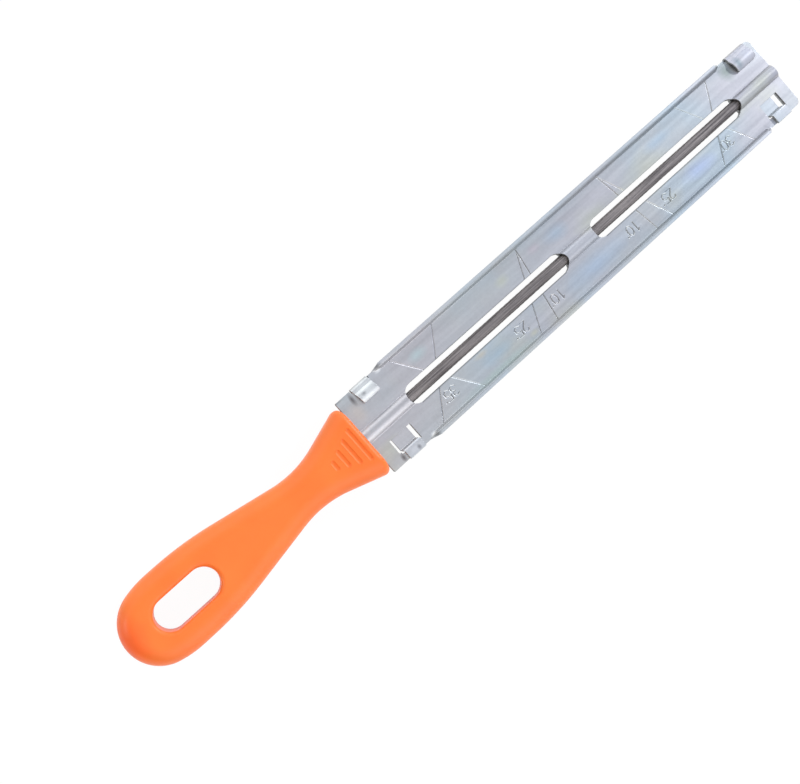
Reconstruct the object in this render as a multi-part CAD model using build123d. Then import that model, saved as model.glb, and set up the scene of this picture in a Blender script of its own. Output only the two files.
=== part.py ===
from build123d import *
import math
import os

# Chainsaw file guide: two stamped steel plates hold a round file between
# them, and a moulded handle sits on the tang of the file.
# Frame: +X runs to the tip, +Y to the side with the two hooks, +Z to the
# marked face. Every piece is drawn with the middle of the plates, on the
# file's axis, at zero, and is then moved along X so that the origin is the
# middle of the whole guide. All lengths are in millimetres.

# Plates
plate_length = 162.0
sheet = 0.7
plates_gap = 0.1            # air between the two plates
file_drop = 0.3             # the file's axis lies this far below that gap
end_half_width = 12.0       # half width of the flat ends
rim_half_width = 12.8       # half width over the raised rims
rim_lift = 1.0
rim_wall_foot = 11.1        # where the wall of the rim starts
rim_wall_run = 0.85         # how far that wall leans out
rim_bend = 0.5              # bend radius, at the middle of the sheet
dip_from = 9.1              # outside this the sheet dips slightly to the rim
dip = 0.07
rim_in_handle = 16.1        # from each end of the plates to a rim at full height
rim_in_tip = 14.2
rim_ramp = 3.1              # run-out of a rim at the handle end
rim_ramp_tip = 1.5
sweep_share = 0.35          # there the wall of the rim sweeps out to the edge
tip_corner = 1.7
butt_corner = 0.35
through = 6.0               # overrun of every cut through the sheet

# File
file_diameter = 3.2
file_length = 150.0
heel_in = 6.0               # from the end of the plates to the end of the file's cut
neck_length = 3.2
tang_length = 38.0
tang_root = 2.0
tang_point = 1.1
file_chamfer = 0.25
channel_clearance = 0.06    # between the file and its channel
rib_foot = 0.6              # bend radius where the rib leaves the flat

# Slots that bare the file
bridge = 10.7               # steel left between the two slots
slot_length = 60.05
slot_width = 6.1

# Windows with their tongues, and the hooks
window_near = 5.0
window_far = 9.35
fold_out = 0.5              # the tongues' folds stand this far outside that
window_in_handle = 7.95     # from the ends of the plates
window_length_handle = 7.4
tongue_width_handle = 5.4
tongue_shift_handle = -0.2  # from the middle of the window
tab_shift_handle = 0.35     # its folded end leans to the tip
window_in_tip = 7.6
window_length_tip = 7.0
tongue_width_tip = 4.7
tongue_shift_tip = -0.72
tab_shift_tip = 0.2
tab_width = 5.5             # width of the folded ends
tongue_end = 12.3
finger_gap = 0.1            # air between a folded finger and the top plate
fold_radius = 0.38
fold_share = 0.45           # most of the climb that one bend can take
lance_gap = 0.15            # cut beside each folded piece in the lower plate
hook_outer = 12.3
bead_from = 10.5            # the hook's finger is arched inside this
bead_height = 0.65
hook_in_handle = 8.15       # from the ends of the plates
hook_width_handle = 5.8
hook_skew_handle = 0.8      # the finger leans this far to the tip
hook_reach_handle = 7.1     # y of its nose
hook_round_handle = 0.5     # corner of the nose, in plan
hook_in_tip = 6.2
hook_width_tip = 7.5
hook_skew_tip = 0.8
hook_reach_tip = 6.6
hook_round_tip = 1.1
notch_gap = 0.45            # play of a hook or a tongue in the top plate, lengthwise
notch_depth_gap = 0.2

# Angle marks, pressed into the marked face
line_width = 0.5
line_depth = 0.2
line_margin = 0.15          # left between a line and the slot
cross_in_handle = 26.4      # from the ends of the plates
cross_in_tip = 25.35
cross_angle_handle = 35
cross_angle_tip = 30
fan_middle = 1.1
fan_place = 16.05           # from the middle to each fan's point
fan_angles = (10, 25)

# Handle
handle_gap = 0.4            # air between the handle and the plates
handle_length = 80.6
handle_width = 23.0
handle_thickness = 12.6
handle_round = 4.7
end_round = 1.7
socket_clearance = 0.05
hole_length = 19.6
hole_width = 8.8
hole_wall = 9.7             # from the butt to the hang hole
hole_round = 1.2
groove_count = 4
groove_pitch = 2.8
groove_first = 2.7
groove_longest = 11.2
groove_step = 2.5           # each groove is this much shorter than the last
groove_depth = 0.35
groove_radius = 0.9
palm_share = 0.5257         # from the butt to the palm's corner, share of the width
# corners of the outline: share of the way to the palm, share of the half width
corner_shares = ((0.0, 1.005), (0.2818, 0.4565), (0.7782, 1.0), (1.0, 1.0))
# radii of the arcs at waist and belly: shares of way * way / width
bend_shares = (0.147, 0.4704)
palm_bend_share = 1.217     # radius at the palm, share of the width
butt_share = 0.952          # radius of the round butt, share of the half width

top_mid = file_drop + plates_gap / 2 + sheet / 2    # middle of the upper sheet
low_mid = -file_drop + plates_gap / 2 + sheet / 2   # the lower one, downwards
low_top = file_drop - plates_gap / 2                # its upper side
face_z = top_mid + sheet / 2                        # the marked face
channel_radius = file_diameter / 2 + channel_clearance
half = plate_length / 2
rim_from = -half + rim_in_handle
rim_to = half - rim_in_tip
window_place_handle = -half + window_in_handle
window_place_tip = half - window_in_tip
hook_place_handle = -half + hook_in_handle
hook_place_tip = half - hook_in_tip
cross_place_handle = -half + cross_in_handle
cross_place_tip = half - cross_in_tip
heel = -half + heel_in                              # end of the file's cut
high = face_z + finger_gap              # underside of a folded finger
handle_face = -half - handle_gap
handle_butt = handle_face - handle_length
to_origin = (handle_gap + handle_length) / 2


def arc(cy, cz, radius, a0, a1):
    """Start, middle and end of an arc, angles in degrees."""
    out = []
    for a in (a0, (a0 + a1) / 2, a1):
        out.append((cy + radius * math.cos(math.radians(a)),
                    cz + radius * math.sin(math.radians(a))))
    return out


def mirrored(points):
    """The same points on the other side of the axis."""
    return [(-y, z) for y, z in points]


def face_of(pieces, x):
    """Face across X, from lines of two points and arcs of three."""
    edges = []
    for piece in pieces:
        p = [Vector(x, y, z) for y, z in piece]
        if len(p) == 3:
            edges.append(Edge.make_three_point_arc(*p))
        else:
            edges.append(Edge.make_line(*p))
    return Face(Wire(edges))


def skin_pieces(mid, lift, edge, side):
    """One skin of the sheet for y > 0, from the crown of the rib to the edge."""
    off = side * sheet / 2
    crown = channel_radius + sheet / 2
    foot_z = mid + rib_foot
    foot_y = math.sqrt((crown + rib_foot) ** 2 - foot_z ** 2)
    lean = math.degrees(math.atan2(foot_z, foot_y))
    rib = arc(0, 0, crown + off, 90, lean)
    foot = arc(foot_y, foot_z, rib_foot - off, 180 + lean, 270)
    slope = math.atan2(rim_lift + dip, rim_wall_run)
    reach = rim_bend * math.tan(slope / 2)
    deg = math.degrees(slope)
    y1 = rim_wall_foot - reach
    y2 = rim_wall_foot + reach * math.cos(slope)
    y3 = rim_wall_foot + rim_wall_run - reach * math.cos(slope)
    y4 = rim_wall_foot + rim_wall_run + reach
    z = mid + off
    if lift > 0:
        low = arc(y1, mid - dip + rim_bend, rim_bend - off, 270, 270 + deg)
        up = arc(y4, mid + lift - rim_bend, rim_bend + off, 90 + deg, 90)
        return [rib, foot, [foot[-1], (dip_from, z)], [(dip_from, z), low[0]], low,
                [low[-1], up[0]], up, [up[-1], (edge, z + lift)]]
    bends = [edge - (edge - y) * sweep_share for y in (y1, y2, y3, (y3 + edge) / 2)]
    stops = [foot[-1], (dip_from, z)] + [(y, z) for y in bends] + [(edge, z)]
    return [rib, foot] + [[a, b] for a, b in zip(stops, stops[1:])]


def section(x, mid, lift, edge):
    """Cross-section of a sheet whose middle is at mid: rib, flats and rims."""
    top = skin_pieces(mid, lift, edge, 1)
    low = skin_pieces(mid, lift, edge, -1)
    ring = [list(reversed(p)) for p in reversed(top)]
    ring += [mirrored(p) for p in top]
    ring.append([mirrored(top[-1])[-1], mirrored(low[-1])[-1]])
    ring += [mirrored(list(reversed(p))) for p in reversed(low)]
    ring += [list(p) for p in low]
    ring.append([low[-1][-1], top[-1][-1]])
    return face_of(ring, x)


def run(x0, x1, mid, lift, edge):
    """Straight length of the sheet."""
    return extrude(section(x0, mid, lift, edge), amount=x1 - x0, dir=(1, 0, 0))


def block(x0, x1, y0, y1):
    """Cut right through the sheets between two corners."""
    return Pos((x0 + x1) / 2, (y0 + y1) / 2, 0) * Box(
        abs(x1 - x0), abs(y1 - y0), 2 * through)


def slots():
    """Both slots, as cuts through both plates."""
    shape = extrude(SlotOverall(slot_length, slot_width), amount=through, both=True)
    place = (bridge + slot_length) / 2
    return Pos(-place, 0, 0) * shape + Pos(place, 0, 0) * shape


def corners():
    """What the rounding of the four corners takes off."""
    cuts = []
    for side, r in ((1, tip_corner), (-1, butt_corner)):
        for up in (1, -1):
            x, y = side * (half - r), up * (end_half_width - r)
            square = block(x, x + side * (r + through), y, y + up * (r + through))
            cuts.append(square - Pos(x, y, 0) * Cylinder(r, 2 * through))
    return cuts


def angle_marks():
    """Ends of every pressed line, worked out from its place and angle."""
    y_in = slot_width / 2 + line_margin
    y_out = rim_wall_foot
    marks = []
    for place, angle in ((cross_place_handle, cross_angle_handle),
                         (cross_place_tip, cross_angle_tip)):
        lean = math.tan(math.radians(angle))
        for way in (1, -1):
            for up in (1, -1):
                marks.append(((place + way * y_in * lean, up * y_in),
                              (place + way * y_out * lean, up * y_out)))
    for way in (1, -1):
        for angle in fan_angles:
            lean = math.tan(math.radians(angle))
            for y0, y1 in ((y_out, y_in), (-y_in, -y_out)):
                marks.append(((fan_middle + way * (fan_place + (y_out - y0) * lean), y0),
                              (fan_middle + way * (fan_place + (y_out - y1) * lean), y1)))
    return marks


def groove(p, q):
    """A shallow V groove between two points of the marked face."""
    rise = line_depth / 2
    wide = line_width / 2 * (1 + rise / line_depth)
    tri = face_of([[(-wide, rise), (0, -line_depth)], [(0, -line_depth), (wide, rise)],
                   [(wide, rise), (-wide, rise)]], 0)
    prism = extrude(tri, amount=math.dist(p, q), dir=(1, 0, 0))
    turn = math.degrees(math.atan2(q[1] - p[1], q[0] - p[0]))
    return Pos(p[0], p[1], face_z) * Rot(0, 0, turn) * prism


def top_plate():
    """Upper plate: rib, raised rims, slots, windows, notches and angle marks."""
    low_end, high_end = rim_from - rim_ramp, rim_to + rim_ramp_tip
    body = run(-half, low_end, top_mid, 0, end_half_width)
    body += loft([section(low_end, top_mid, 0, end_half_width),
                  section(rim_from, top_mid, rim_lift, rim_half_width)], ruled=True)
    body += run(rim_from, rim_to, top_mid, rim_lift, rim_half_width)
    body += loft([section(rim_to, top_mid, rim_lift, rim_half_width),
                  section(high_end, top_mid, 0, end_half_width)], ruled=True)
    body += run(high_end, half, top_mid, 0, end_half_width)
    cuts = [slots()] + corners()
    for place, length, width, shift, _ in window_list():
        near, far = place + shift - width / 2 - notch_gap, place + length / 2
        cuts.append(block(place - length / 2, far, -window_near, -window_far))
        cuts.append(block(near, far, -window_near, -window_far - fold_out))
    inner = hook_outer - sheet - notch_depth_gap
    for place, width in ((hook_place_handle, hook_width_handle),
                         (hook_place_tip, hook_width_tip)):
        w = width / 2 + notch_gap
        cuts.append(block(place - w, place + w, inner, rim_half_width + through))
    cuts += [groove(p, q) for p, q in angle_marks()]
    return body - cuts


def window_list():
    """Place and length of both windows, then the tongue's width, shift and tab shift."""
    return ((window_place_handle, window_length_handle, tongue_width_handle,
             tongue_shift_handle, tab_shift_handle),
            (window_place_tip, window_length_tip, tongue_width_tip,
             tongue_shift_tip, tab_shift_tip))


def hook_list():
    """Place, width, lean, reach and nose corner of both hooks."""
    return ((hook_place_handle, hook_width_handle, hook_skew_handle,
             hook_reach_handle, hook_round_handle),
            (hook_place_tip, hook_width_tip, hook_skew_tip,
             hook_reach_tip, hook_round_tip))


def hook_fold():
    """Inner radius of the fold, and the line where the lower sheet starts to bend."""
    r_in = (high - low_top) / 2
    return r_in, hook_outer - r_in - sheet


def hook_plan(x, width, skew, reach, nose_round):
    """Plan of a hook: its finger leans to the tip and has one rounded corner."""
    _, cy = hook_fold()
    start = cy - sheet
    nose = reach - sheet
    w = width / 2
    far = hook_outer + through
    lean = skew / (hook_outer - reach)
    add = lean * (far - hook_outer)
    pts = [(x - w - add, far), (x + w - add, far),
           (x + w + skew, reach), (x + w + skew, nose),
           (x - w + skew, nose), (x - w + skew, reach)]
    plan = extrude(make_face(Polyline(*pts, close=True)), amount=through, both=True)
    round_x = x + w + skew - nose_round
    corner = block(round_x, round_x + nose_round + through,
                   nose - through, reach + nose_round)
    corner -= block(round_x - through, round_x, nose - through, reach + nose_round)
    disc = Pos(round_x, reach + nose_round, 0) * Cylinder(nose_round, 2 * through)
    upper = Pos(0, 0, through + high - plates_gap) * Box(
        2 * plate_length, 2 * plate_length, 2 * through)
    return plan - ((corner - disc) & upper), start


def hook(x, width, skew, reach, nose_round):
    """Finger that rises at the edge and folds in over the top plate, with a bead."""
    r_in, cy = hook_fold()
    r_out = r_in + sheet
    cz = (high + low_top) / 2
    plan, start = hook_plan(x, width, skew, reach, nose_round)
    mid = (bead_from + reach) / 2
    inner = arc(cy, cz, r_in, -90, 90)
    outer = arc(cy, cz, r_out, 90, -90)
    from_in = min(bead_from, cy - plates_gap)
    nose = (reach - sheet / 4, high + sheet / 2)
    pieces = [
        [(start, cz - r_in), inner[0]], inner, [inner[-1], (from_in, high)],
        [(from_in, high), (mid, high + bead_height), (reach, high)],
        [(reach, high), nose, (reach, high + sheet)],
        [(reach, high + sheet), (mid, high + sheet + bead_height),
         (from_in, high + sheet)],
        [(from_in, high + sheet), outer[0]], outer,
        [outer[-1], (start, cz - r_out)],
        [(start, cz - r_out), (start, cz - r_in)]]
    wide = width + 2 * abs(skew)
    bent = extrude(face_of(pieces, x - wide), amount=2 * wide, dir=(1, 0, 0))
    return bent & plan


def tongue(x, width, tab_x):
    """Tongue cut from the lower plate: up through the window, then outward."""
    bottom = low_top - sheet
    r = min(fold_radius, fold_share * (high - low_top))
    drop = max(r - finger_gap, 0)
    side = window_far + fold_out - finger_gap
    wall = side - (r - math.sqrt(r ** 2 - drop ** 2))
    inner = wall - sheet
    root = window_near - sheet
    tip = tongue_end - sheet / 4
    foot_in = arc(inner - r, low_top + r, r, -90, 0)
    head_out = arc(wall + r, high - r, r + sheet, 180, 90)
    head_in = arc(wall + r, high - r, r, 90, 180)
    foot_out = arc(inner - r, low_top + r, r + sheet, 0, -90)
    pieces = [
        [(root, bottom), (root, low_top)], [(root, low_top), foot_in[0]], foot_in,
        [foot_in[-1], head_out[0]], head_out,
        [head_out[-1], (tip, high + sheet)],
        [(tip, high + sheet), (tongue_end, high + sheet / 2), (tip, high)],
        [(tip, high), head_in[0]], head_in,
        [head_in[-1], foot_out[0]], foot_out,
        [foot_out[-1], (root, bottom)]]
    w, t = width / 2, tab_width / 2
    wide = abs(tab_x - x) + tab_width
    bent = extrude(face_of([mirrored(p) for p in pieces], x - wide),
                   amount=2 * wide, dir=(1, 0, 0))
    plan = Polyline((x - w, -root), (x + w, -root), (x + w, -inner), (tab_x + t, -wall),
                    (tab_x + t, -tongue_end), (tab_x - t, -tongue_end),
                    (tab_x - t, -wall), (x - w, -inner), close=True)
    return bent & extrude(make_face(plan), amount=through, both=True)


def bottom_plate():
    """Lower plate: rib, slots, two hooks on +Y and two tongues on -Y."""
    body = mirror(run(-half, half, low_mid, 0, end_half_width), about=Plane.XY)
    cuts = [slots()] + corners()
    for place, length, width, shift, _ in window_list():
        near, far = place + shift - width / 2 - lance_gap, place + length / 2
        cuts.append(block(place - length / 2, far, -window_near, -window_far))
        cuts.append(block(near, far, -window_near, -window_far - fold_out - lance_gap))
    _, bend = hook_fold()
    side = end_half_width + through
    for place, width, *_ in hook_list():
        w = width / 2
        cuts.append(block(place - w - lance_gap, place - w, bend - sheet, side))
        cuts.append(block(place + w, place + w + lance_gap, bend - sheet, side))
        cuts.append(block(place - w, place + w, bend, side))
    body -= cuts
    for hook_place in hook_list():
        body += hook(*hook_place)
    for place, _, width, shift, tab_shift in window_list():
        body += tongue(place + shift, width, place + tab_shift)
    return body


def taper_planes():
    """Planes at the neck and at the point of the tang."""
    x_neck = heel - neck_length
    return [Plane(origin=(x, 0, 0), z_dir=(-1, 0, 0))
            for x in (heel, x_neck, x_neck - tang_length)]


def round_file():
    """Round file with its square tapered tang."""
    start, neck, point = taper_planes()
    r = file_diameter / 2
    body = Pos(heel + file_length / 2, 0, 0) * Rot(0, 90, 0) * Cylinder(r, file_length)
    body = chamfer(body.edges().sort_by(Axis.X)[-1], file_chamfer)
    body += loft([start * Circle(r), neck * Circle(tang_root * math.sqrt(2) / 2)])
    body += loft([neck * Rectangle(tang_root, tang_root),
                  point * Rectangle(tang_point, tang_point)])
    return body


def handle_plan():
    """Outline of the handle, run on past its face: straight sides, rounded corners."""
    w = handle_width / 2
    way = handle_length - palm_share * handle_width
    marks = [(handle_face - s * way, y * w) for s, y in corner_shares]
    palm_x, palm_y = marks[-1]
    radius = butt_share * w
    ahead = palm_x - (handle_butt + radius)
    lean = math.atan2(palm_y, ahead) - math.asin(radius / math.hypot(ahead, palm_y))
    apex = (palm_x - palm_y / math.tan(lean), 0)
    (x0, y0), (x1, y1) = marks[:2]
    start = (x0 + handle_round, y0 + handle_round * (y0 - y1) / (x0 - x1))
    side = [start] + marks[1:]
    other = [(x, -y) for x, y in reversed(side)]
    rounds = [0] + [s * way ** 2 / handle_width for s in bend_shares]
    rounds.append(palm_bend_share * handle_width)
    return make_face(FilletPolyline(
        *side, apex, *other, radius=rounds + [radius] + rounds[::-1], close=True))


def handle_blank():
    """Waisted body with soft edges, before the hole, socket and grooves."""
    body = extrude(handle_plan(), amount=handle_thickness / 2, both=True)
    rims = [e for e in body.edges() if abs(e.center().Z) > handle_thickness / 4
            and e.center().X < handle_face + handle_round / 2]
    body = fillet(rims, handle_round)
    body -= Pos(handle_face + handle_length / 2, 0, 0) * Box(
        handle_length, 2 * handle_width, 2 * handle_width)
    return fillet(body.faces().sort_by(Axis.X)[-1].edges(), end_round)


def handle():
    """Moulded handle with a hang hole, grip grooves and a socket for the tang."""
    body = handle_blank()
    t = handle_thickness / 2
    hole_x = handle_butt + hole_wall + hole_length / 2
    hole = extrude(SlotOverall(hole_length, hole_width), amount=2 * t, both=True)
    body -= Pos(hole_x, 0, 0) * hole
    rims = [e for e in body.edges()
            if abs(e.center().X - hole_x) < hole_length / 2 + hole_round
            and abs(e.center().Y) < hole_width
            and e.bounding_box().size.Y < hole_width + hole_round
            and e.bounding_box().size.Z < t / 2]
    body = fillet(rims, hole_round)
    cuts = []
    for i in range(groove_count):
        x = handle_face - groove_first - i * groove_pitch
        z = t + groove_radius - groove_depth
        span = groove_longest - i * groove_step - 2 * groove_radius
        for up in (1, -1):
            cuts.append(Pos(x, 0, up * z) * Rot(90, 0, 0) * Cylinder(groove_radius, span))
            for way in (1, -1):
                cuts.append(Pos(x, way * span / 2, up * z) * Sphere(groove_radius))
    start, neck, point = taper_planes()
    wide = tang_root + 2 * socket_clearance
    slim = tang_point + 2 * socket_clearance
    depth = point.offset(2 * socket_clearance)
    cuts.append(loft([neck * Rectangle(wide, wide), depth * Rectangle(slim, slim)]))
    return body - cuts


if __name__ == "__main__":
    os.makedirs("parts", exist_ok=True)
    for name, shape in (("top_plate", top_plate()), ("bottom_plate", bottom_plate()),
                        ("file", round_file()), ("handle", handle())):
        shape = Pos(to_origin, 0, 0) * shape
        box = shape.bounding_box()
        print(name, len(shape.solids()), shape.is_valid, box.min, box.max)
        export_step(shape, "parts/" + name + ".step")
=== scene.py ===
import math
import bmesh
import bpy
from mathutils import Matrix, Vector


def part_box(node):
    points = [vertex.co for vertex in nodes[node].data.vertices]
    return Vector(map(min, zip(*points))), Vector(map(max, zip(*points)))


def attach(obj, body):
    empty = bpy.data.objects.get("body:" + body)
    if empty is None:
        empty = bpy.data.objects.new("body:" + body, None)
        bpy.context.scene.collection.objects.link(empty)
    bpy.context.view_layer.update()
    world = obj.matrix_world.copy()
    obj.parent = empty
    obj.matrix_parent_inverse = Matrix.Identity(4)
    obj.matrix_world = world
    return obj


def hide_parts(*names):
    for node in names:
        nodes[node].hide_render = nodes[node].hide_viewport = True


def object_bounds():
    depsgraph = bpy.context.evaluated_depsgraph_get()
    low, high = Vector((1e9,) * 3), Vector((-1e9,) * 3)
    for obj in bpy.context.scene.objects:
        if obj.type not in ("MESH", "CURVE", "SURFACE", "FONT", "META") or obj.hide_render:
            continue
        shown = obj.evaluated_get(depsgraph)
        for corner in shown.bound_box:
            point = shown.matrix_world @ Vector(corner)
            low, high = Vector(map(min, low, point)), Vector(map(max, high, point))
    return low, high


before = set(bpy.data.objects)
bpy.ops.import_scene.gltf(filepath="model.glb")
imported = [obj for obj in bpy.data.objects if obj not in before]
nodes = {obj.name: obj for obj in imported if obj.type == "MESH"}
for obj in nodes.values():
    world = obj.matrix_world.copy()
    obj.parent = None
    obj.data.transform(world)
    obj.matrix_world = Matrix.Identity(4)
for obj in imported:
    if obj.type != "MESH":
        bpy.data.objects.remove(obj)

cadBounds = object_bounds()
scene = bpy.context.scene
mm = 0.001
black = (0, 0, 0)
white = (1, 1, 1)
plateLow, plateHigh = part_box("top_plate")
plateMiddle = (plateLow.x + plateHigh.x) / 2 / mm
print("frame loaded, plate middle at", round(plateMiddle, 2), "mm")

# Camera of the photograph, in millimetres and degrees
cameraLook = {
    "spot": (-91.806, 12.887, 319.454),
    "turn": (6.6023, -9.9725, -42.2513),
    "lens": 54.92,
    "sensor": 36.0,
    "near": 10.0,
    "far": 20000.0,
}


def setCamera(look):
    cam = bpy.data.cameras.new("photoCamera")
    cam.type = "PERSP"
    cam.sensor_width = look["sensor"]
    cam.lens = look["lens"]
    cam.clip_start = look["near"] * mm
    cam.clip_end = look["far"] * mm
    rig = bpy.data.objects.new("photoCamera", cam)
    rig.location = [v * mm for v in look["spot"]]
    rig.rotation_euler = [math.radians(a) for a in look["turn"]]
    scene.collection.objects.link(rig)
    scene.camera = rig


setCamera(cameraLook)
print("camera set")


def grey(level):
    return (level, level, level)


def fadeIn(start, full):
    # ramp stops from black to white
    return ((start, black), (full, white))


def addNode(tree, kind, **values):
    # values are sockets by name, or properties of the node
    node = tree.nodes.new(kind)
    for key, value in values.items():
        if key in node.inputs:
            node.inputs[key].default_value = value
        else:
            setattr(node, key, value)
    return node


def addRamp(tree, factor, stops):
    ramp = tree.nodes.new("ShaderNodeValToRGB")
    elements = ramp.color_ramp.elements
    while len(elements) < len(stops):
        elements.new(0.5)
    for element, (place, colour) in zip(elements, stops):
        element.position = place
        element.color = (*colour, 1)
    tree.links.new(factor, ramp.inputs["Fac"])
    return ramp.outputs["Color"]


def addMath(tree, operation, first, second=0):
    node = addNode(tree, "ShaderNodeMath", operation=operation)
    for socket, value in zip(node.inputs, (first, second)):
        if isinstance(value, (int, float)):
            socket.default_value = value
        else:
            tree.links.new(value, socket)
    return node.outputs["Value"]


def addMix(tree, factor, first, second, blend="MIX"):
    node = tree.nodes.new("ShaderNodeMix")
    node.data_type = "RGBA"
    node.blend_type = blend
    sockets = (node.inputs[0], node.inputs[6], node.inputs[7])      # factor and the two colours
    for socket, value in zip(sockets, (factor, first, second)):
        if isinstance(value, (int, float)):
            socket.default_value = value
        elif isinstance(value, tuple):
            socket.default_value = (*value, 1)
        else:
            tree.links.new(value, socket)
    return node.outputs[2]


def times(tree, first, second):
    return addMix(tree, 1.0, first, second, "MULTIPLY")


def plus(tree, first, second):
    return addMix(tree, 1.0, first, second, "ADD")


def addNoise(tree, place, scale, detail=2.0, roughness=0.5):
    node = addNode(tree, "ShaderNodeTexNoise", Scale=scale, Detail=detail, Roughness=roughness)
    tree.links.new(place, node.inputs["Vector"])
    return node.outputs["Fac"]


def addBump(tree, height, depth):
    # depth in millimetres
    node = addNode(tree, "ShaderNodeBump", Strength=1.0, Distance=depth * mm)
    tree.links.new(height, node.inputs["Height"])
    return node


def addSplit(tree, vector):
    node = tree.nodes.new("ShaderNodeSeparateXYZ")
    tree.links.new(vector, node.inputs["Vector"])
    return node.outputs


def stretched(tree, place, size, shift=(0, 0, 0)):
    node = addNode(tree, "ShaderNodeMapping", Scale=size, Location=shift)
    tree.links.new(place, node.inputs["Vector"])
    return node.outputs["Vector"]


def startMaterial(name):
    material = bpy.data.materials.new(name)
    material.use_nodes = True
    tree = material.node_tree
    place = tree.nodes.new("ShaderNodeTexCoord").outputs["Object"]
    return material, tree, tree.nodes["Principled BSDF"], place


# Studio: a white sweep, and a soft dome that is darker near the horizon
studio = {
    "floorGap": 0.2,          # millimetres under the handle
    "floorSize": 4.0,         # metres
    "floorCells": 4,
    "floorColour": (0.86, 0.86, 0.86),
    "floorRough": 0.9,
    "whiteShare": 0.93,       # how much of the floor is seen as plain white
    "whiteGlow": 1.03,
    "domeStrength": 1.4,
    # colours of the dome along X and up Z, from 0 to 1, which are multiplied
    "acrossStops": (
        (0.0, (0.10, 0.10, 0.11)), (0.30, grey(0.30)), (0.50, (0.60, 0.60, 0.595)),
        (0.60, (0.60, 0.61, 0.615)), (0.66, (0.48, 0.52, 0.58)), (0.71, (0.41, 0.455, 0.545)),
        (0.76, (0.36, 0.405, 0.51)), (0.82, (0.30, 0.345, 0.45)), (1.0, (0.27, 0.28, 0.33)),
    ),
    "heightStops": (
        (0.0, grey(0.6)), (0.49, grey(0.3)), (0.5, grey(0.2)),
        (0.56, grey(0.3)), (0.62, grey(0.95)), (1.0, white),
    ),
    # two low strips of light, one along each side, that stop short of the tip
    "stripStops": ((0.49, black), (0.52, white), (0.80, white), (0.90, black)),
    "stripEnds": ((0.30, black), (0.40, white), (0.61, white), (0.67, grey(0.05))),
    "stripColour": (0.75, 0.75, 0.72),
    # soft panels: direction, angles where it starts to fade and where it ends, colour
    "panels": (
        ((0.58, 0.72, 0.38), 12, 30, (0.30, 0.33, 0.37)),       # the tip's rib
        ((0.55, -0.58, 0.60), 6, 22, (0.24, 0.25, 0.28)),
        ((0.89, 0.40, 0.18), 5, 18, grey(3.2)),                 # the walls of the stamped lines
        ((-0.35, 0.43, 0.83), 10, 20, grey(0.2)),
    ),
}


def whenSeen(tree, mirrored):
    # 1 for rays that see the background straight or through glass, and in a mirror if that is asked
    path = tree.nodes.new("ShaderNodeLightPath")
    seen = addMath(tree, "MAXIMUM", path.outputs["Is Camera Ray"], path.outputs["Is Transmission Ray"])
    if mirrored:
        seen = addMath(tree, "MAXIMUM", seen, path.outputs["Is Glossy Ray"])
    return seen


def mixShaders(tree, share, first, second, output):
    mix = tree.nodes.new("ShaderNodeMixShader")
    for socket, value in zip(mix.inputs, (share, first, second)):
        tree.links.new(value, socket)
    tree.links.new(mix.outputs["Shader"], tree.nodes[output].inputs["Surface"])


def buildDome(look):
    world = bpy.data.worlds.new("studioDome")
    scene.world = world
    world.use_nodes = True
    tree = world.node_tree
    way = tree.nodes.new("ShaderNodeTexCoord").outputs["Generated"]
    axes = addSplit(tree, way)
    across, height = (addMath(tree, "ADD", addMath(tree, "MULTIPLY", axes[axis], 0.5), 0.5) for axis in "XZ")
    colour = times(tree, addRamp(tree, across, look["acrossStops"]), addRamp(tree, height, look["heightStops"]))
    strips = times(tree, addRamp(tree, height, look["stripStops"]), addRamp(tree, across, look["stripEnds"]))
    colour = plus(tree, colour, times(tree, strips, look["stripColour"]))
    for aim, inner, outer, tint in look["panels"]:
        dot = addNode(tree, "ShaderNodeVectorMath", operation="DOT_PRODUCT")
        tree.links.new(way, dot.inputs[0])
        dot.inputs[1].default_value = Vector(aim).normalized()
        stops = ((math.cos(math.radians(outer)), black), (math.cos(math.radians(inner)), tint))
        colour = plus(tree, colour, addRamp(tree, dot.outputs["Value"], stops))
    dome = tree.nodes["Background"]
    tree.links.new(colour, dome.inputs["Color"])
    dome.inputs["Strength"].default_value = look["domeStrength"]
    plain = addNode(tree, "ShaderNodeBackground", Color=(*white, 1), Strength=1.0)
    mixShaders(tree, whenSeen(tree, False), dome.outputs[0], plain.outputs[0], "World Output")


def buildFloor(look):
    material, tree, shader, _ = startMaterial("paleSweep")
    shader.inputs["Base Color"].default_value = (*look["floorColour"], 1)
    shader.inputs["Roughness"].default_value = look["floorRough"]
    share = addMath(tree, "MULTIPLY", whenSeen(tree, True), look["whiteShare"])
    glow = addNode(tree, "ShaderNodeEmission", Color=(*white, 1), Strength=look["whiteGlow"])
    mixShaders(tree, share, shader.outputs[0], glow.outputs[0], "Material Output")

    cells = look["floorCells"]
    sheet = bmesh.new()
    bmesh.ops.create_grid(sheet, x_segments=cells, y_segments=cells, size=look["floorSize"] / 2)
    level = cadBounds[0][2] - look["floorGap"] * mm
    bmesh.ops.translate(sheet, verts=sheet.verts, vec=(0, 0, level))
    mesh = bpy.data.meshes.new("paleFloor")
    sheet.to_mesh(mesh)
    sheet.free()
    mesh.materials.append(material)
    floor = bpy.data.objects.new("paleFloor", mesh)
    scene.collection.objects.link(floor)


# Lamps: name, place and aim in metres, size in metres, watts, colour, spread in degrees
lamps = {
    "tipKey": ((0.98, 0.02, 0.56), (0.03, 0, 0), 0.13, 5.2, (0.95, 0.98, 1.0), 180),
    "handleFill": ((-0.18, -0.38, 0.45), (-0.06, 0, 0), 0.5, 0.95, (1.0, 1.0, 1.0), 180),
    "buttFill": ((-0.40, 0.20, 0.16), (-0.085, 0, 0), 0.12, 0.012, (1.0, 1.0, 1.0), 30),
}


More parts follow.
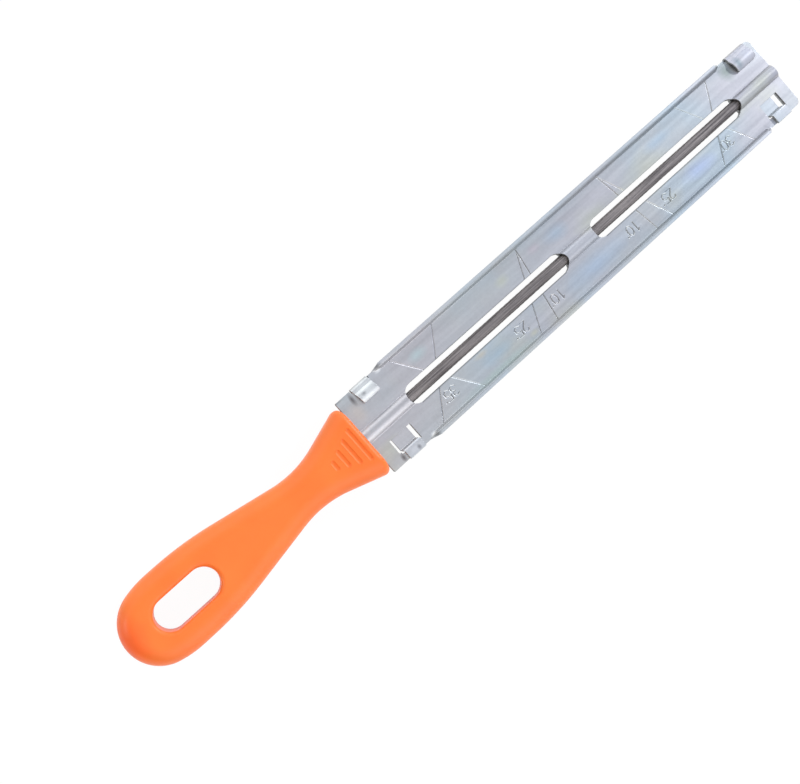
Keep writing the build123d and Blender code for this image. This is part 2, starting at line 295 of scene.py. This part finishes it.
def addLamps(table):
    for name, (spot, aim, size, power, colour, spread) in table.items():
        lamp = bpy.data.lights.new(name, "AREA")
        lamp.size = size
        lamp.energy = power
        lamp.color = colour
        lamp.spread = math.radians(spread)
        obj = bpy.data.objects.new(name, lamp)
        obj.location = spot
        obj.rotation_euler = (Vector(aim) - Vector(spot)).to_track_quat("-Z", "Y").to_euler()
        scene.collection.objects.link(obj)


buildDome(studio)
buildFloor(studio)
addLamps(lamps)
print("studio built")

# Zinc plating: pale grey with cool, warm and yellowish clouds, rolling streaks and tiny crystals
zincLook = {
    "grey": (0.54, 0.555, 0.565),
    "cool": (0.495, 0.56, 0.605),
    "warm": (0.55, 0.54, 0.57),
    "straw": (0.565, 0.57, 0.51),
    "shift": (0.0, 0.0, 0.0),   # moves the whole pattern, metres
    "cloudSize": 38.0,          # clouds to a metre
    # clouds over the grey: colour, stretch, shift, detail, roughness, where they start and are full
    "clouds": (
        ("cool", (1.0, 1.0, 1.0), (0.0, 0.0, 0.0), 3.0, 0.55, (0.38, 0.62)),
        ("warm", (0.7, 1.0, 1.0), (0.31, 0.17, 0.05), 2.0, 0.5, (0.45, 0.65)),
        ("straw", (0.9, 1.6, 1.0), (0.77, 0.41, 0.2), 2.0, 0.5, (0.56, 0.7)),
    ),
    "streakSize": (45.0, 900.0, 300.0),
    "streakShare": 0.6,         # of the light and dark in the surface
    "crystalSize": 1400.0,
    "crystalShare": 0.4,
    "shadeStops": ((0.3, grey(0.9)), (0.7, grey(1.06))),
    "roughStops": ((0.3, grey(0.35)), (0.7, grey(0.42))),
    "metal": 0.9,
    "waveSize": (60.0, 110.0, 60.0),
    "ripple": 0.05,             # depth of the soft waves, millimetres
    "grain": 0.004,             # depth of the crystals, millimetres
    "patches": (),
    "paintedShading": None,
}

# The marked plate has larger tinted patches, and some painted shadows and highlights: middle from the middle of
# the plate, half sizes, colour
markedLook = dict(zincLook, patches=(
    ((43.0, -6.5), (10.0, 4.0), (0.44, 0.52, 0.72)),
    ((39.0, 7.5), (10.0, 3.0), (0.47, 0.57, 0.66)),
    ((-55.0, 7.5), (5.0, 3.0), (0.50, 0.61, 0.63)),
    ((-38.0, -7.0), (9.0, 3.0), (0.44, 0.55, 0.64)),
    ((-42.0, -4.2), (4.0, 1.5), (0.62, 0.58, 0.50)),
    ((-26.5, -9.5), (3.0, 1.5), (0.60, 0.60, 0.50)),
    ((-24.0, 7.0), (4.0, 2.5), (0.58, 0.60, 0.52)),
    ((-11.0, 7.8), (3.5, 2.0), (0.58, 0.53, 0.57)),
    ((0.0, -7.0), (18.0, 5.0), (0.46, 0.55, 0.67)),
    ((-3.0, 7.0), (7.0, 4.0), (0.46, 0.55, 0.64)),
    ((-78.0, 6.0), (4.0, 5.0), (0.62, 0.575, 0.55)),
    ((-76.8, 9.9), (1.1, 2.9), (0.12, 0.10, 0.10)),       # painted shadows beside the hook and the tab
    ((-76.7, -10.7), (1.1, 2.0), (0.14, 0.12, 0.12)),
    # painted shadow left of the tip's hook
    ((69.2, 9.2), (4.0, 6.0), (0.28, 0.33, 0.30)),
    ((-40.0, -10.6), (24.0, 1.8), (0.47, 0.56, 0.54)),
    ((-66.4, 11.1), (1.7, 0.9), (0.95, 0.95, 0.95)),      # ends of the rims: painted highlights, then painted shade
    ((-66.3, -11.3), (1.6, 1.0), (0.95, 0.95, 0.95)),
    ((-66.0, 12.1), (2.2, 1.1), (0.12, 0.12, 0.12)),
    ((-65.7, -12.2), (2.0, 1.2), (0.12, 0.12, 0.12)),
), paintedShading={
    # painted shade and highlights: stops in millimetres, each with the share of the colour that is left there
    # across the raised rims: painted shade in the bend and a painted highlight on top, and the height where
    # they start
    "rims": ((10.9, 1.0), (11.15, 0.79), (11.9, 0.79), (12.15, 1.12)),
    "raisedFrom": 1.07,
    # painted shade across the soft dip beside them
    "dips": ((8.4, 1.0), (9.1, 0.95), (9.7, 1.0)),
    # by height: painted shade on the floors of the stamped lines and numbers
    "recessShade": ((0.85, 1.0), (0.87, 0.56), (0.905, 0.56), (0.955, 1.0)),
    # painted shade along the burred edges beside the windows, from edge to edge of the plate, and where the
    # windows run
    "burrShade": ((-3.4, 1.0), (-3.24, 0.62), (-3.0, 0.62), (-2.9, 1.0),
              (2.9, 1.0), (3.0, 0.85), (3.2, 0.85), (3.35, 1.0)),
    "windows": (8.0, 63.0),
})

# The hooked plate is a little paler, with painted shade in the hooks' creases and painted highlights on their
# folds
hookedLook = dict(
    zincLook,
    grey=(0.58, 0.60, 0.61),
    cool=(0.55, 0.585, 0.62),
    warm=(0.60, 0.59, 0.62),
    straw=(0.58, 0.595, 0.60),
    shift=(0.4, 0.2, 0.1),
    patches=(
        # the tip's hook: painted shade on its left part, a painted highlight on its bar
        ((73.1, 8.5), (2.2, 3.6), (0.26, 0.33, 0.36)),
        ((77.0, 9.0), (4.0, 3.0), (0.66, 0.67, 0.74)),
        # the handle end's hook and tab: painted highlights, then small patches of painted shade
        ((-72.4, 9.8), (6.0, 5.0), (0.80, 0.83, 0.84)),
        ((-72.6, -11.0), (5.5, 3.0), (0.72, 0.73, 0.78)),
        ((-71.7, -11.2), (1.1, 1.4), (0.20, 0.20, 0.22)),
        ((-73.5, 9.1), (1.3, 0.9), (0.30, 0.30, 0.32)),
    ),
)

# Patches: how far one leaves its oval, how strong it is, and where it starts to fade and ends
patchLook = {"swirlSize": 150.0, "wander": 0.5, "strength": 0.75, "fade": (0.35, 0.98)}


def addPatches(tree, place, colour, patches, look):
    swirl = addNoise(tree, place, look["swirlSize"])
    inner, outer = look["fade"]
    for (x, y), (wide, deep), tint in patches:
        size = (1 / (wide * mm), 1 / (deep * mm), 0)
        spot = (-(plateMiddle + x) / wide, -y / deep, 0)
        out = addNode(tree, "ShaderNodeVectorMath", operation="LENGTH")
        tree.links.new(stretched(tree, place, size, spot), out.inputs[0])
        reach = addMath(tree, "ADD", out.outputs["Value"], addMath(tree, "MULTIPLY", swirl, look["wander"]))
        share = addRamp(tree, reach, ((inner, grey(look["strength"])), (outer, black)))
        colour = addMix(tree, share, colour, tint)
    return colour


def addShade(tree, colour, reach, stops):
    # the colour times the shares of the stops; the ramp holds half of each, to leave room above 1
    low, high = stops[0][0], stops[-1][0]
    part = addMath(tree, "MULTIPLY", addMath(tree, "SUBTRACT", reach, low * mm), 1 / ((high - low) * mm))
    halves = [((out - low) / (high - low), grey(share / 2)) for out, share in stops]
    return times(tree, colour, times(tree, addRamp(tree, part, halves), grey(2.0)))


# paints shade and highlights onto the colour by place
def addPaintedShading(tree, place, colour, look):
    axes = addSplit(tree, place)
    side = addMath(tree, "ABSOLUTE", axes["Y"])
    raised = addMath(tree, "GREATER_THAN", axes["Z"], look["raisedFrom"] * mm)
    colour = addMix(tree, raised, colour, addShade(tree, colour, side, look["rims"]))
    colour = addShade(tree, colour, side, look["dips"])
    colour = addShade(tree, colour, axes["Z"], look["recessShade"])
    start, end = look["windows"]
    along = addMath(tree, "ABSOLUTE", addMath(tree, "SUBTRACT", axes["X"], plateMiddle * mm))
    beside = addMath(tree, "MULTIPLY", addMath(tree, "GREATER_THAN", along, start * mm),
                     addMath(tree, "LESS_THAN", along, end * mm))
    return addMix(tree, beside, colour, addShade(tree, colour, axes["Y"], look["burrShade"]))


def zincPlate(name, look):
    material, tree, shader, place = startMaterial(name)
    here = stretched(tree, place, (1, 1, 1), look["shift"])
    colour = look["grey"]
    for tint, size, shift, detail, roughness, span in look["clouds"]:
        clouds = addNoise(tree, stretched(tree, here, size, shift), look["cloudSize"], detail, roughness)
        colour = addMix(tree, addRamp(tree, clouds, fadeIn(*span)), colour, look[tint])
    colour = addPatches(tree, place, colour, look["patches"], patchLook)
    # painted shade and highlights where the plate has them
    if look["paintedShading"]:
        colour = addPaintedShading(tree, place, colour, look["paintedShading"])
    streaks = addNoise(tree, stretched(tree, here, look["streakSize"]), 1.0, detail=3.0, roughness=0.6)
    crystals = addNoise(tree, here, look["crystalSize"], roughness=0.6)
    grain = addMath(tree, "ADD", addMath(tree, "MULTIPLY", streaks, look["streakShare"]),
                    addMath(tree, "MULTIPLY", crystals, look["crystalShare"]))
    colour = times(tree, colour, addRamp(tree, grain, look["shadeStops"]))
    tree.links.new(colour, shader.inputs["Base Color"])
    shader.inputs["Metallic"].default_value = look["metal"]
    tree.links.new(addRamp(tree, streaks, look["roughStops"]), shader.inputs["Roughness"])
    waves = addNoise(tree, stretched(tree, here, look["waveSize"]), 1.0, detail=1.0, roughness=0.4)
    soft = addBump(tree, waves, look["ripple"])
    fine = addBump(tree, crystals, look["grain"])
    tree.links.new(soft.outputs["Normal"], fine.inputs["Normal"])
    tree.links.new(fine.outputs["Normal"], shader.inputs["Normal"])
    return material


# Bare steel: the hardened file, dark and warm, and the sheared edges of the sheets
fileLook = {
    "dark": (0.105, 0.094, 0.095),
    "light": (0.32, 0.29, 0.285),
    "metal": 0.8,
    "grainSize": (60.0, 2500.0, 2500.0),
    "detail": 4.0,
    "roughStops": ((0.3, grey(0.42)), (0.7, grey(0.6))),
}
shearLook = {
    "dark": (0.10, 0.10, 0.10),
    "light": (0.26, 0.25, 0.25),
    "metal": 0.6,
    "grainSize": (2500.0, 2500.0, 400.0),
    "detail": 3.0,
    "roughStops": ((0.3, grey(0.5)), (0.7, grey(0.65))),
}
# the hooked sheet's edges are painted lighter, as a highlight
foldLook = dict(shearLook, dark=(0.30, 0.31, 0.31), light=(0.60, 0.62, 0.62), metal=0.3)


def bareSteel(name, look):
    material, tree, shader, place = startMaterial(name)
    grain = addNoise(tree, stretched(tree, place, look["grainSize"]), 1.0, look["detail"], roughness=0.6)
    colour = addMix(tree, addRamp(tree, grain, fadeIn(0.35, 0.65)), look["dark"], look["light"])
    tree.links.new(colour, shader.inputs["Base Color"])
    shader.inputs["Metallic"].default_value = look["metal"]
    tree.links.new(addRamp(tree, grain, look["roughStops"]), shader.inputs["Roughness"])
    return material


# Moulded plastic in two close oranges, with painted shade that makes it redder at the butt
plasticLook = {
    "orange": (1.0, 0.208, 0.030),
    "deep": (0.98, 0.180, 0.023),
    "cloudSize": 60.0,
    "grainSize": 2600.0,
    "grain": 0.006,             # depth, millimetres
    "roughStops": ((0.3, grey(0.36)), (0.7, grey(0.46))),
    # painted shade: redder at the butt
    "patches": (((-160.5, 2.0), (9.0, 14.0), (1.0, 0.11, 0.016)),),
    "gloss": {
        "Specular IOR Level": 0.4,
        "Sheen Weight": 0.08,
        "Sheen Roughness": 0.5,
        "Subsurface Weight": 0.12,
        "Subsurface Radius": (1.0, 0.35, 0.1),
        "Subsurface Scale": 0.0015,
    },
}


def orangePlastic(look):
    material, tree, shader, place = startMaterial("orangePlastic")
    clouds = addNoise(tree, place, look["cloudSize"])
    grain = addNoise(tree, place, look["grainSize"])
    colour = addMix(tree, addRamp(tree, clouds, fadeIn(0.35, 0.65)), look["orange"], look["deep"])
    colour = addPatches(tree, place, colour, look["patches"], patchLook)
    tree.links.new(colour, shader.inputs["Base Color"])
    tree.links.new(addRamp(tree, grain, look["roughStops"]), shader.inputs["Roughness"])
    for socket, value in look["gloss"].items():
        shader.inputs[socket].default_value = value
    tree.links.new(addBump(tree, grain, look["grain"]).outputs["Normal"], shader.inputs["Normal"])
    return material


shear = bareSteel("shearedEdge", shearLook)
foldShear = bareSteel("foldedEdge", foldLook)
topZinc = zincPlate("zincTop", markedLook)
lowZinc = zincPlate("zincLow", hookedLook)
steel = bareSteel("fileSteel", fileLook)
plastic = orangePlastic(plasticLook)
print("materials made")


def dress(node, material):
    nodes[node].data.materials.clear()
    nodes[node].data.materials.append(material)


def finishPiece(name, bm, material, body, replaced, sharpAngle):
    for face in bm.faces:
        face.smooth = True
    for edge in bm.edges:
        edge.smooth = edge.is_manifold and edge.calc_face_angle(0.0) < math.radians(sharpAngle)
    mesh = bpy.data.meshes.new(name)
    bm.to_mesh(mesh)
    bm.free()
    mesh.materials.append(material)
    piece = bpy.data.objects.new(name, mesh)
    scene.collection.objects.link(piece)
    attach(piece, body)
    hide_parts(replaced)
    return piece


# Plates: the stamped sheets of the frame, with their sheared edges eased; millimetres and degrees
plateLook = {
    "ease": 0.05,               # width of the eased edges
    "easeSteps": 2,
    "edgeAngle": 78.0,          # edges sharper than this are eased
    "shortest": 0.045,          # edges shorter than this aren't
    "merge": 0.0001,
    "flat": 0.4,                # faces that turn less than this become one
    "sharp": 24.0,              # edges that turn more than this show
    "upright": 0.3,             # faces whose normal rises less than this are sheared ones
    "flatWeight": 60,
    "lineFloor": 0.85,          # height of the floors of the stamped lines
    "lineMatch": 0.01,
    "lineBand": (3.0, 11.3),    # from the file's axis to either side
    "lineRise": 0.05,           # how much shallower the lines get
}

# Plain angle numbers, stamped upside down beside the lines
numberLook = {
    # text, and its middle from the middle of the plate
    "words": (("35o", -55.6), ("25o", -28.9), ("10o", -14.9), ("10o", 15.1), ("25o", 29.7), ("30o", 54.3)),
    "row": -6.5,            # millimetres from the file's axis
    "height": 3.0,
    "advance": 2.2,         # from digit to digit
    "stroke": 0.55,
    "depth": 0.17,
    "face": 1.05,           # height of the marked face
    "rise": 0.06,           # the cutters start this far above it
    # strokes of the digits in a box one high; "o" is the raised dot after an angle
    "strokes": {
        "0": ((0.30, 0.0), (0.08, 0.13), (0.0, 0.5), (0.08, 0.87), (0.30, 1.0),
              (0.52, 0.87), (0.60, 0.5), (0.52, 0.13), (0.30, 0.0)),
        "1": ((0.30, 0.0), (0.30, 1.0), (0.12, 0.80)),
        "2": ((0.02, 0.80), (0.13, 0.96), (0.32, 1.0), (0.52, 0.93), (0.58, 0.75),
              (0.50, 0.55), (0.0, 0.0), (0.60, 0.0)),
        "3": ((0.03, 0.86), (0.28, 1.0), (0.52, 0.90), (0.53, 0.66), (0.27, 0.54),
              (0.55, 0.42), (0.58, 0.16), (0.30, 0.0), (0.0, 0.15)),
        "5": ((0.56, 1.0), (0.08, 1.0), (0.04, 0.56), (0.30, 0.63), (0.55, 0.50),
              (0.58, 0.20), (0.32, 0.0), (0.0, 0.14)),
        "o": ((0.04, 0.86), (0.12, 0.92)),
    },
}


def chisel(bm, start, end, look):
    # a boat-shaped cutter from start to end, points of the marked face in millimetres
    wide = look["stroke"] / 2 * (1 + look["rise"] / look["depth"])
    along = (end - start).normalized()
    corners = []
    for spot, way in ((start, -along), (end, along)):
        side = Vector((-way.y, way.x))
        for k in range(5):      # a half round end
            turn = math.radians(-90 + 45 * k)
            out = spot + wide * (math.cos(turn) * way + math.sin(turn) * side)
            corners.append((out.x, out.y, look["face"] + look["rise"]))
        corners.append((spot.x, spot.y, look["face"] - look["depth"]))
    made = [bm.verts.new(Vector(c) * mm) for c in corners]
    bmesh.ops.convex_hull(bm, input=made)
    loose = [v for v in made if v.is_valid and not v.link_faces]
    bmesh.ops.delete(bm, geom=loose, context="VERTS")


def numberCutter(look):
    bm = bmesh.new()
    for word, along in look["words"]:
        span = (len(word) - 1) * look["advance"]
        for place, letter in enumerate(word):
            left = place * look["advance"] - span / 2
            spots = [Vector((plateMiddle + along - left - x * look["height"],
                             look["row"] - (y - 0.5) * look["height"])) for x, y in look["strokes"][letter]]
            for start, end in zip(spots, spots[1:]):
                chisel(bm, start, end, look)
    bmesh.ops.recalc_face_normals(bm, faces=bm.faces)
    cutterMesh = bpy.data.meshes.new("numberCutter")
    bm.to_mesh(cutterMesh)
    bm.free()
    return cutterMesh


def stamped(bm, cutterMesh):
    # the sheet with the numbers cut into it
    sheetMesh = bpy.data.meshes.new("sheet")
    bm.to_mesh(sheetMesh)
    bm.free()
    holder = bpy.data.objects.new("sheet", sheetMesh)
    cutter = bpy.data.objects.new("cutter", cutterMesh)
    for obj in (holder, cutter):
        scene.collection.objects.link(obj)
    cut = holder.modifiers.new("cut", "BOOLEAN")
    cut.operation = "DIFFERENCE"
    cut.solver = "EXACT"
    cut.use_self = True
    cut.object = cutter
    graph = bpy.context.evaluated_depsgraph_get()
    done = bpy.data.meshes.new_from_object(holder.evaluated_get(graph))
    out = bmesh.new()
    out.from_mesh(done)
    for obj in (holder, cutter):
        bpy.data.objects.remove(obj)
    for mesh in (sheetMesh, cutterMesh, done):
        bpy.data.meshes.remove(mesh)
    return out


def raiseLines(bm, look):
    # the floors of the stamped lines are softer than the solid's
    near, far = look["lineBand"]
    floors = [v for v in bm.verts if abs(v.co.z / mm - look["lineFloor"]) < look["lineMatch"]
              and near < abs(v.co.y / mm) < far]
    bmesh.ops.translate(bm, verts=floors, vec=(0, 0, look["lineRise"] * mm))
    print("line floors eased:", len(floors))


def plateSkin(node, name, material, edgeMaterial, body, look, numbers=None):
    bm = bmesh.new()
    bm.from_mesh(nodes[node].data)
    bmesh.ops.remove_doubles(bm, verts=bm.verts, dist=look["merge"] * mm)
    if numbers:
        raiseLines(bm, look)
        bm = stamped(bm, numberCutter(numbers))
    bmesh.ops.dissolve_limit(bm, angle_limit=math.radians(look["flat"]), verts=bm.verts, edges=bm.edges)
    bmesh.ops.triangulate(bm, faces=[f for f in bm.faces if len(f.verts) > 4])
    bm.normal_update()
    for face in bm.faces:
        face.material_index = 1 if abs(face.normal.z) < look["upright"] else 0
    weight = bm.edges.layers.float.new("bevel_weight_edge")
    tight = {v for e in bm.edges if e.calc_length() < look["shortest"] * mm for v in e.verts}
    for edge in bm.edges:
        sharp = edge.is_manifold and edge.calc_face_angle(0.0) > math.radians(look["edgeAngle"])
        edge[weight] = 1.0 if sharp and not tight.intersection(edge.verts) else 0.0
    piece = finishPiece(name, bm, material, body, node, look["sharp"])
    piece.data.materials.append(edgeMaterial)
    ease = piece.modifiers.new("easedEdges", "BEVEL")
    ease.width = look["ease"] * mm
    ease.segments = look["easeSteps"]
    ease.limit_method = "WEIGHT"
    ease.use_clamp_overlap = False
    flat = piece.modifiers.new("flatFaces", "WEIGHTED_NORMAL")
    flat.keep_sharp = True
    flat.weight = look["flatWeight"]
    return piece


plateSkin("top_plate", "markedPlate", topZinc, shear, "upper", plateLook, numberLook)
plateSkin("bottom_plate", "hookedPlate", lowZinc, foldShear, "lower", plateLook)
print("plates made")

# File: a spiral cut over the whole round part, smooth neck and tang from the frame; millimetres
cutLook = {
    "from": -74.6,          # ends of the cut, from the middle of the plates
    "to": 75.0,
    "radius": 1.6,
    "rings": 270,
    "around": 84,
    "rows": 21,             # rows of teeth around the file
    "turn": 0.9,            # turns of a row over the length
    "rowDepth": 0.1,
    "chop": 0.85,           # pitch of the cross cuts
    "chopDepth": 0.05,
    "fade": 1.2,            # smooth start and end
    "chamfer": 0.25,
    "overlap": 0.05,        # how far the neck reaches into the cut
    "merge": 0.0001,        # for the frame's mesh
    "weld": 0.001,          # for the seam of the cut
    "sharp": 60.0,          # degrees
}


def cutFile(look):
    bm = bmesh.new()
    bm.from_mesh(nodes["file"].data)
    bmesh.ops.remove_doubles(bm, verts=bm.verts, dist=look["merge"] * mm)
    start = (plateMiddle + look["from"]) * mm
    whole = bm.verts[:] + bm.edges[:] + bm.faces[:]
    cut = bmesh.ops.bisect_plane(bm, geom=whole, plane_co=(start + look["overlap"] * mm, 0, 0),
                                 plane_no=(1, 0, 0), clear_outer=True)
    rim = [e for e in cut["geom_cut"] if isinstance(e, bmesh.types.BMEdge)]
    bmesh.ops.edgeloop_fill(bm, edges=rim)
    length = look["to"] - look["from"]
    grid = bmesh.ops.create_grid(bm, x_segments=look["rings"], y_segments=look["around"], size=0.5)
    skin = grid["verts"]
    for v in skin:
        along = v.co.x + 0.5
        angle = (v.co.y + 0.5) * 2 * math.pi
        reach = along * length
        row = (angle / (2 * math.pi) * look["rows"] + along * look["turn"] * look["rows"]) % 1.0
        chop = (reach / look["chop"] + angle / (2 * math.pi)) % 1.0
        cutShare = min(1.0, reach / look["fade"], (length - reach) / look["fade"])
        dip = look["rowDepth"] * abs(2 * row - 1) + look["chopDepth"] * chop
        radius = look["radius"] - cutShare * dip - max(0.0, reach - length + look["chamfer"])
        spot = (plateMiddle + look["from"] + reach, radius * math.cos(angle), radius * math.sin(angle))
        v.co = Vector(spot) * mm
    bmesh.ops.remove_doubles(bm, verts=skin, dist=look["weld"] * mm)
    rims = [e for e in bm.edges if e.is_boundary]
    bmesh.ops.holes_fill(bm, edges=rims, sides=0)
    bmesh.ops.recalc_face_normals(bm, faces=bm.faces)
    return finishPiece("roundFile", bm, steel, "file", "file", look["sharp"])


cutFile(cutLook)
print("file cut")

dress("handle", plastic)
print("handle coloured")

scene.view_settings.view_transform = "Standard"
